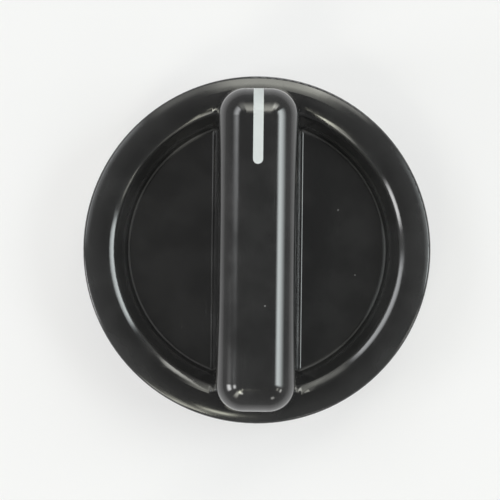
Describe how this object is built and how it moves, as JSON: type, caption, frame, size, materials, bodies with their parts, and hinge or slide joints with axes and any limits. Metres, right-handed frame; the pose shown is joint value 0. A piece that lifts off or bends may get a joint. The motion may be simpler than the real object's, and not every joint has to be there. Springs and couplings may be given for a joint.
{
  "type": "timer knob",
  "caption": "Round dished appliance timer knob with a raised grip bar, a paint-filled pointer line and a D-shaped push-on shaft socket held by a spring clip.",
  "frame": {"origin": "on the turning axis, in the bottom plane of the skirt", "axes": "+Z along the turning axis towards the user, +Y the way the pointer line points"},
  "size_m": [0.0588, 0.0588, 0.0295],
  "materials": {
    "black_plastic": "gloss black moulded plastic with fine wear",
    "pointer_paint": "satin light grey-white paint",
    "spring_steel": "plain spring steel strip"
  },
  "bodies": {
    "root": {"knob_body": "black_plastic", "pointer_line": "pointer_paint", "shaft_clip": "spring_steel"}
  },
  "joints": []
}
